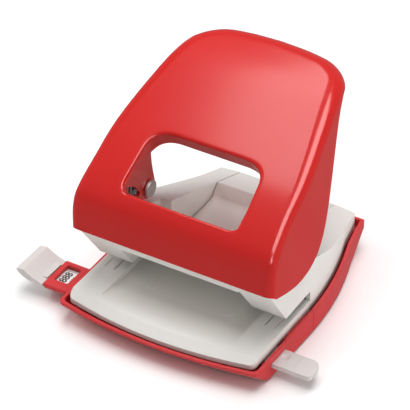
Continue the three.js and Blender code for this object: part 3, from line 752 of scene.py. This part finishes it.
def chip_tray():
    tray = tray_shell("chip_tray_shell", (SEAM_Y + GAP / 2, 90))
    side, front, inner_end = 45.2, -26, SEAM_Y + 6
    low = FLOOR_Z + 2 + GAP
    carve(tray, [
        box("t", -side, side, front, inner_end, low, low + 1.4),
        box("t", -side, side, SEAM_Y + 0.5, inner_end, FLOOR_Z + 1, low + 1),
    ], "UNION")
    carve(tray, [box("t", -side, side, front, front + 1.4, low, 8)]
          + both(side_box, side - 1.4, side, front, inner_end, low, 8), "UNION")
    grip = box("t", -14, 14, TRAY_REAR_Y - 3, TRAY_REAR_Y + 3, 8.2, 10.6)
    carve(tray, [grip] + both(side_hole, PAD_RADIUS + GAP, *TRAY_FOOT, -1, PAD_TOP_Z + GAP))
    round_edges(tray, 0.45, 2, 40)
    return place(tray, "chip_drawer", "red_plastic", "chip_tray")


def groove(side, x, y0, y1, depth):
    outline = [(side * x - 0.9, DECK_Z + 0.5), (side * x, DECK_Z - depth), (side * x + 0.9, DECK_Z + 0.5)]
    vertices = [(x_, y, z) for y in (y0, y1) for x_, z in outline]
    return outward(new_object("t", vertices, [
        (0, 1, 2), (3, 4, 5), (0, 1, 4, 3), (1, 2, 5, 4), (2, 0, 3, 5)]))


def bevel_tool():
    front, half = TRAY_FRONT_Y + BODY_INSET, TRAY_HALF_WIDTH - BODY_INSET

    def where(u, v, w):
        x = mix(-half - 2, half + 2, u)
        bow = TRAY_BOW * (1 - (x / half) ** 2)
        inner = mix(-2, 4.4, v)
        low = mix(10.6, DECK_Z + 0.05, clamp01((inner + 0.4) / 4.8))
        return x, front - bow + inner, mix(low, DECK_Z + 3, w)

    return mapped("t", 24, 1, 1, where)


def deck():
    low = DIE_PLATE_TOP + GAP
    slab = prism("deck_plate", plan(BODY_INSET), "z", 9.8, DECK_Z)
    carve(slab, [box("t", -60, 60, -80, DECK_REAR_Y, 0, 30)], "INTERSECT")

    def recess(u, v, w):
        deep = min(1, 3 * v)
        half = 35 - (0.3 * deep if w == 0 else 0)
        bottom = mix(DECK_Z - 0.02, DIE_PLATE_TOP + 0.75, deep)
        return mix(-half, half, u), mix(-51, STOP_Y, v), (bottom, DECK_Z, DECK_Z + 4)[round(w * 2)]

    ramp = mapped("t", 1, 3, 2, recess)
    carve(slab, [prism("t", plan(BODY_INSET + 2), "z", 0, low), bevel_tool(), ramp]
          + both(side_box, 25.7, 60, STOP_Y - GAP, 20, 0, 30))
    carve(slab, [box("t", -31.2, 31.2, STOP_Y, STOP_Y + 1.6, low, 19.3)], "UNION")
    carve(slab, [box("t", -25.7, 25.7, STOP_Y, DECK_REAR_Y, low, 19.3)]
          + [s for x, y in SCREWS for s in both(side_hole, 3, x, y, 8.8, DIE_PLATE_TOP + 1)], "UNION")
    carve(slab, both(side_hole, 4.7, HOLE_X, PUNCH_Y, 0, 30, 48)
          + both(groove, HOLE_X, -31.5, PUNCH_Y - 5, 1.1)
          + both(groove, HOLE_X + 5, -31.5, -24, 0.6)
          + [s for x, y in SCREWS for s in both(side_hole, 1.6, x, y, 0, 12)])
    round_edges(slab, 0.35, 2, 25)
    return place(slab, "base", "grey_plastic", "deck", degrees=25)


# Housing

HOUSING_REAR_Y = TRAY_REAR_Y - BODY_INSET
HOUSING_BOTTOM_Z = 9.9
HOOD_FRONT_Y, HOOD_TOP_Z, HOOD_TIP_Y, HOOD_INNER_X, LIP_Z = -44.4, 42.6, -28.5, 31.5, 37.4
SEAM_X, WALL, HOOD_WALL = 26, 2, 1.4
FRAME_IN, FRAME_OUT = 33.2, 46.2
MOUTH_OUT, MOUTH_LOW, CUT_HIGH = 47.6, 36, 62


def seam_z(y):
    return 40.8 - 0.352 * y


def crease_z(y):
    return seam_z(y) - 5.4 * math.sin(math.pi * clamp01((64 - y) / 90)) ** 0.8


def housing_block(inset):
    profile = [
        (HOOD_TIP_Y + inset, SLOT_TOP_Z + inset),
        (STOP_Y + inset, SLOT_TOP_Z + inset),
        (STOP_Y + inset, HOUSING_BOTTOM_Z - 5 * inset),
        (HOUSING_REAR_Y - inset, HOUSING_BOTTOM_Z - 5 * inset),
        (HOUSING_REAR_Y - inset, seam_z(HOUSING_REAR_Y)),
        (-8, seam_z(-8)),
        (-40.4, 45.6),
        (HOOD_FRONT_Y + 1.2 * inset, HOOD_TOP_Z),
    ]
    sides = prism("t", profile, "x", -60, 60)
    shape = prism("t", plan(BODY_INSET + inset), "z", 0, 60)
    carve(shape, [box("t", -60, 60, -60, STOP_Y - 8, -1, 61)])
    wide = mapped("t", 1, 1, 1, lambda u, v, w: (
        mix(-1, 1, u) * (mix(50.2, 48.8, v) - inset), mix(-50, STOP_Y - 8, v), mix(0, 60, w)))
    carve(shape, [wide], "UNION")
    return carve(sides, [shape], "INTERSECT")


def above_panel(side, lower):
    def where(u, v, w):
        y = mix(-12, HOUSING_REAR_Y + 2, v)
        across = mix(0, 1.2, u)
        crease = 48.4 - 11.2 * clamp01((y - 4) / 58) ** 1.5
        surface = mix(seam_z(y), crease_z(y), across) - lower
        return side * mix(SEAM_X, crease, across), y, mix(surface, 60, w)

    return mapped("t", 4, 24, 1, where)


def housing():
    """Two hoods over the punches, joined by a lip in front and two sloping panels behind."""
    shell = carve(housing_block(0), both(above_panel, 0))
    hollow = carve(housing_block(WALL), both(above_panel, WALL))
    panel_y = STOP_Y + 2
    carve(hollow, both(side_box, SEAM_X, SEAM_X + WALL, STOP_Y, HOUSING_REAR_Y, 16, 60)
          + both(side_box, HOOD_INNER_X, HOOD_INNER_X + HOOD_WALL, -50, panel_y + HOOD_WALL, 0, 60)
          + both(side_box, SEAM_X, HOOD_INNER_X + 1, panel_y, panel_y + HOOD_WALL, 16, 60))
    carve(shell, [
        hollow,
        box("t", -SEAM_X, SEAM_X, STOP_Y, 80, 0, 60),
        box("t", -HOOD_INNER_X, HOOD_INNER_X, -60, panel_y, -1, 61),
    ] + both(side_box, HOOD_INNER_X + 1.6, MOUTH_OUT, -39.2, -26, MOUTH_LOW, CUT_HIGH)
          + both(side_box, 35.8, MOUTH_OUT, -27, -11.5, MOUTH_LOW, CUT_HIGH))
    lip = prism("t", [
        (HOOD_FRONT_Y, HOOD_TOP_Z), (HOOD_FRONT_Y + 2.4, LIP_Z), (-8, 22), (-8, 24),
        (-40, 39.4), (-41.6, 45)], "x", -HOOD_INNER_X - 0.4, HOOD_INNER_X + 0.4)
    carve(shell, [lip], "UNION")
    slots = both(side_box, FRAME_IN - GAP, FRAME_OUT + GAP, STOP_Y - 1, 5.8, 0, 22.4)
    carve(shell, slots + both(side_hole, 3.55, HOLE_X, PUNCH_Y, 15, 30)
          + [box("t", -47.4, 47.4, STOP_Y - 1, 5.5, -1, DIE_PLATE_TOP + GAP)])
    shell.name = "housing_shell"
    clean(shell, 0.06)
    round_edges(shell, 0.3, 2, 28, shortest=1.2, clamp=False)
    return place(shell, "base", "grey_plastic", "housing", degrees=28)


def centre_cover():
    side, low, skin = SEAM_X - GAP, 19.6, 1.8
    front = STOP_Y - 2.2
    outline = [(front, low), (34, low), (38.4, seam_z(38.4) - skin),
               (HOUSING_REAR_Y - skin, seam_z(HOUSING_REAR_Y) - skin),
               (HOUSING_REAR_Y - skin, HOUSING_BOTTOM_Z), (HOUSING_REAR_Y, HOUSING_BOTTOM_Z),
               (HOUSING_REAR_Y, seam_z(HOUSING_REAR_Y)), (38, seam_z(38))]
    outline += quad_curve((34.4, low + skin + 3), (33, low + skin), (28, low + skin), 8)
    outline.append((front, low + skin))
    cover = prism("centre_cover_skin", outline, "x", -side, side)
    round_edges(cover, 0.4, 3, 25)
    return place(cover, "base", "grey_plastic", "centre_cover", degrees=25)


base_tray()
chip_tray()
deck()
housing()
centre_cover()


# Paper guide


def guide_stop():
    edge, width = -68.5, 20.4
    tip, toe, hub = edge - 12.4, edge + 1.8, edge - 3.5
    outline = [(tip, 13.2)]
    outline += quad_curve(outline[-1], (tip + 1.4, 9.6), (hub, 8.4), 12)
    outline += [(toe, 8.3), (toe, 9.4)]
    outline += quad_curve(outline[-1], (edge - 3, 10.4), (edge - 8.3, 13.9), 12)
    y0 = RAIL_Y - 1.5 - width / 2
    vertices = [(x, y, z) for y in (y0, y0 + width) for x, z in outline]
    count = len(outline)
    faces = [tuple(range(count)), tuple(range(count, 2 * count))]
    faces += [(i, i + count, (i + 1) % count + count, (i + 1) % count) for i in range(count)]
    stop = outward(new_object("guide_stop_block", vertices, faces))
    carve(stop, [
        box("t", hub, toe, RAIL_Y - 7, RAIL_Y + 4.6, 8.6, 10.3),
        box("t", hub, toe, RAIL_Y - 7.2, RAIL_Y + 7.2, 4.4, 8.6),
    ], "UNION")
    socket = box("t", -71 - GAP, -50, RAIL_Y - RAIL_HALF - GAP, RAIL_Y + RAIL_HALF + GAP,
                 RAIL_Z - GAP, RAIL_Z + RAIL_THICK + GAP)
    carve(stop, [socket])
    round_edges(stop, 0.3, 3, 40)
    return place(stop, "guide", "guide_plastic", "guide_stop")


def guide_rail():
    left, right, top = -71, 71.5, RAIL_Z + RAIL_THICK
    y0, y1 = RAIL_Y - RAIL_HALF, RAIL_Y + RAIL_HALF
    bar = prism("guide_rail_bar", [
        (left, y0), (right - 2.5, y0)]
        + quad_curve((right - 2.5, y0), (right, y0), (right, y0 + 2.5), 6)
        + [(right, y1 - 5)] + quad_curve((right, y1 - 5), (right - 0.6, y1), (right - 5, y1), 8)
        + [(left, y1)], "z", RAIL_Z, top)
    recess = box("t", -66.7, 26.3, RAIL_Y - 4.8, RAIL_Y + 4.8, top - 0.6, top + 1)
    fold = box("t", 61.4, 61.9, y0 - 1, y1 + 1, top - 0.25, top + 1)
    bpy.ops.mesh.primitive_uv_sphere_add(
        segments=40, ring_count=24, radius=5, location=(55, RAIL_Y + 1.6, top + 4.4))
    dimple = bpy.context.object
    dimple.data.transform(dimple.matrix_world)
    dimple.matrix_world = Matrix.Identity(4)
    carve(bar, [recess, fold, dimple])
    round_edges(bar, 0.3, 2, 40)
    return place(bar, "guide", "guide_plastic", "guide_rail")


def ink():
    m = Material("black_ink")
    m.colour(m.ramp(m.noise(600, 2), srgb("#141414"), srgb("#262626")))
    m.rough(m.span(m.noise(900, 2), 0.45, 0.6))
    return m.material


def printed(text, name, x, size, material):
    """Flat lettering along the middle of the format strip, read from the right."""
    curve = bpy.data.curves.new(name, "FONT")
    curve.body = text
    curve.size = size
    curve.align_x = "CENTER"
    curve.align_y = "CENTER"
    curve.extrude = 0.015
    curve.offset = 0.11
    flat = bpy.data.objects.new(name + "_curve", curve)
    bpy.context.scene.collection.objects.link(flat)
    bpy.context.view_layer.update()
    mesh = bpy.data.meshes.new_from_object(flat.evaluated_get(bpy.context.evaluated_depsgraph_get()))
    bpy.data.objects.remove(flat)
    obj = bpy.data.objects.new(name, mesh)
    bpy.context.scene.collection.objects.link(obj)
    mesh.materials.clear()
    bm = bmesh.new()
    bm.from_mesh(mesh)
    bmesh.ops.remove_doubles(bm, verts=bm.verts, dist=0.001)
    bmesh.ops.dissolve_degenerate(bm, edges=bm.edges, dist=0.001)
    bm.to_mesh(mesh)
    bm.free()
    middle = Matrix.Translation((x, RAIL_Y, RAIL_Z + RAIL_THICK - 0.03))
    mesh.transform(middle @ Matrix.Rotation(math.pi / 2, 4, "Z"))
    mesh.transform(Matrix.Scale(MM, 4) @ Matrix.Translation((0, SHIFT_Y, 0)))
    mesh.materials.append(material)
    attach(obj, "guide")


def format_marks():
    """The setting for each paper size comes under the window as the guide slides out."""
    black = ink()
    for text, slide in (("888", 0), ("A5", 36.5), ("A4", 80)):
        x = -60.9 + slide
        printed(text, "format_" + text, x, 5.2, black)
        printed("- - -", "format_line_" + text, x + 2.9, 2.2, black)


# Small turned pieces


def tube_faces(rows, around):
    """The faces of a closed tube whose points come in rows."""
    faces = []
    for k in range(rows - 1):
        for i in range(around):
            a, b = k * around, (k + 1) * around
            j = (i + 1) % around
            faces.append((a + i, a + j, b + j, b + i))
    faces.append(tuple(range(around)))
    faces.append(tuple(range((rows - 1) * around, rows * around)))
    return faces


def lathe(name, profile, axis, centre):
    """A closed turned solid from (radius, distance along the axis) points."""
    segments = 48
    vertices = []
    for r, h in profile:
        for i in range(segments):
            a = 2 * math.pi * i / segments
            c, s = r * math.cos(a), r * math.sin(a)
            vertices.append((h, c, s) if axis == "x" else (c, s, h))
    obj = outward(new_object(name, vertices, tube_faces(len(profile), segments)))
    obj.data.transform(Matrix.Translation(centre))
    return obj


def pin(name, side, radius, end, clip, centre):
    """A headed pin across the handle's ear, with a groove for its clip."""
    x0, x1 = EAR_X - 2, EAR_X - GAP
    head = 4.1
    profile = [
        (1.2, x0 - 0.02), (2.6, x0), (head - 0.5, x0 + 0.12), (head - 0.12, x0 + 0.35), (head, x0 + 0.6),
        (head, x1 - 0.2), (head - 0.2, x1), (radius, x1), (radius, clip - 0.1), (radius - 0.6, clip - 0.1),
        (radius - 0.6, clip + 0.9), (radius, clip + 0.9), (radius, end - 0.3), (radius - 0.3, end)]
    obj = lathe(name + "_turned", [(r, side * h) for r, h in profile], "x", (0, *centre))
    return place(obj, "base" if name.startswith("pivot") else "handle", "pin_steel", name)


def foot(name, side, x, y, body):
    r, top = PAD_RADIUS, PAD_TOP_Z
    profile = [(1, 0), (r - 0.5, 0), (r - 0.15, 0.12), (r, 0.4), (r, top - 0.1), (r - 0.1, top), (1, top)]
    obj = lathe(name + "_pad", profile, "z", (side * x, y, 0))
    return place(obj, body, "black_rubber", name)


def coil(name, side):
    """The return spring: ground flat ends, nine turns of 0.9 mm wire."""
    low, high, turns, wire, radius = 25.75, 51.05, 9.5, 0.45, 3.95
    steps, around = 330, 10
    vertices = []
    for i in range(steps + 1):
        t = i / steps
        turn = t * turns
        rise = clamp01((turn - 0.8) / (turns - 1.6))
        z = low + wire + (high - low - 2 * wire) * rise
        angle = 2 * math.pi * turn
        for k in range(around):
            a = 2 * math.pi * k / around
            r = radius + wire * math.cos(a)
            vertices.append((side * HOLE_X + r * math.cos(angle), PUNCH_Y + r * math.sin(angle),
                             max(low, min(high, z + wire * math.sin(a)))))
    obj = outward(new_object(name + "_coil", vertices, tube_faces(steps + 1, around)))
    place(obj, "base", "spring_steel", name, weigh=False)
    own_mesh(obj)


def grip_strip():
    x, y = GRIP_HALF_X, GRIP_HALF_Y
    strip = box("grip_strip_pad", -x, x, PUNCH_Y - y, PUNCH_Y + y, 0, PAD_TOP_Z)
    ribs = [box("t", rib, rib + 0.6, PUNCH_Y - 5, PUNCH_Y + 5, -1, 0.25) for rib in range(-15, 16, 3)]
    carve(strip, ribs)
    round_edges(strip, 0.12, 2, 40)
    return place(strip, "base", "black_rubber", "grip_strip")


guide_stop()
guide_rail()
format_marks()
for side, hand in ((1, "right"), (-1, "left")):
    pin("pivot_pin_" + hand, side, 2.5, 48.4, 47.1, PIVOT)
    pin("drive_pin_" + hand, side, 2.2, 45.6, 44.3, DRIVE)
    foot("foot_1_" + hand, side, *FEET[0], "base")
    foot("foot_2_" + hand, side, *FEET[1], "base")
    foot("tray_foot_" + hand, side, *TRAY_FOOT, "chip_drawer")
    coil("return_spring_" + hand, side)
grip_strip()


# Floor, light and camera

TARGET = Vector((6.585, -10.301, 67)) * MM
DISTANCE = 1275.141 * MM
AZIMUTH = math.radians(30.863779)
ELEVATION = math.radians(36.08377535)
SENSOR = 36
LENS = 252.09887


def camera():
    data = bpy.data.cameras.new("camera")
    data.sensor_width = SENSOR
    data.lens = LENS
    data.clip_end = 20
    obj = bpy.data.objects.new("camera", data)
    bpy.context.scene.collection.objects.link(obj)
    away = Vector((
        math.sin(AZIMUTH) * math.cos(ELEVATION),
        -math.cos(AZIMUTH) * math.cos(ELEVATION),
        math.sin(ELEVATION),
    ))
    obj.location = TARGET + away * DISTANCE
    obj.rotation_euler = away.to_track_quat("Z", "Y").to_euler()
    bpy.context.scene.camera = obj


def floor():
    bpy.ops.mesh.primitive_plane_add(size=6, location=(0, 0, -0.0002))
    plane = bpy.context.object
    plane.name = "floor"
    m = Material("floor")
    m.colour(m.ramp(m.noise(2, 2), srgb("#fafafa"), srgb("#ffffff")))
    m.put(Roughness=0.9)
    plane.data.materials.append(m.material)
    plane.visible_glossy = False


def area_light(name, location, size, power, aim=(0, 0, 0.04), diffuse=True, glossy=True):
    data = bpy.data.lights.new(name, "AREA")
    data.shape = "RECTANGLE"
    data.size = size[0]
    data.size_y = size[1]
    data.energy = power
    obj = bpy.data.objects.new(name, data)
    bpy.context.scene.collection.objects.link(obj)
    obj.location = location
    obj.rotation_euler = (Vector(location) - Vector(aim)).to_track_quat("Z", "Y").to_euler()
    obj.visible_diffuse = diffuse
    obj.visible_glossy = glossy


def world(strength):
    w = bpy.data.worlds.new("studio")
    w.use_nodes = True
    background = w.node_tree.nodes["Background"]
    background.inputs["Color"].default_value = (1, 1, 1, 1)
    background.inputs["Strength"].default_value = strength
    bpy.context.scene.world = w


camera()
floor()
world(0.24)

# soft boxes that only light
area_light("overhead", (0.04, 0, 0.8), (0.6, 0.6), 4.2, (0.04, 0, 0), glossy=False)
area_light("key", (-0.3, -0.4, 0.8), (0.5, 0.5), 0.6, (0, 0, 0.05), glossy=False)
area_light("right", (0.95, 0.1, 0.16), (0.8, 0.24), 3.4, glossy=False)
area_light("back", (-0.1, 0.5, 0.9), (0.6, 0.4), 2.7, glossy=False)
area_light("left", (-0.8, -0.1, 0.5), (0.6, 0.4), 2.2, glossy=False)

# sheets that show only as highlights in the paint
area_light("face_sheet", (-0.21, 0.19, 0.65), (0.1, 0.58), 1, (-0.21, 0.19, 0), diffuse=False)
area_light("crease_sheet", (0.38, -0.05, 0.65), (0.5, 0.8), 9, (0.38, -0.05, 0), diffuse=False)
area_light("foot_sheet", (0.52, -0.62, 0.44), (0.3, 0.3), 2.2, (0.05, -0.03, 0.06), diffuse=False)

bpy.context.scene.view_settings.view_transform = "Standard"
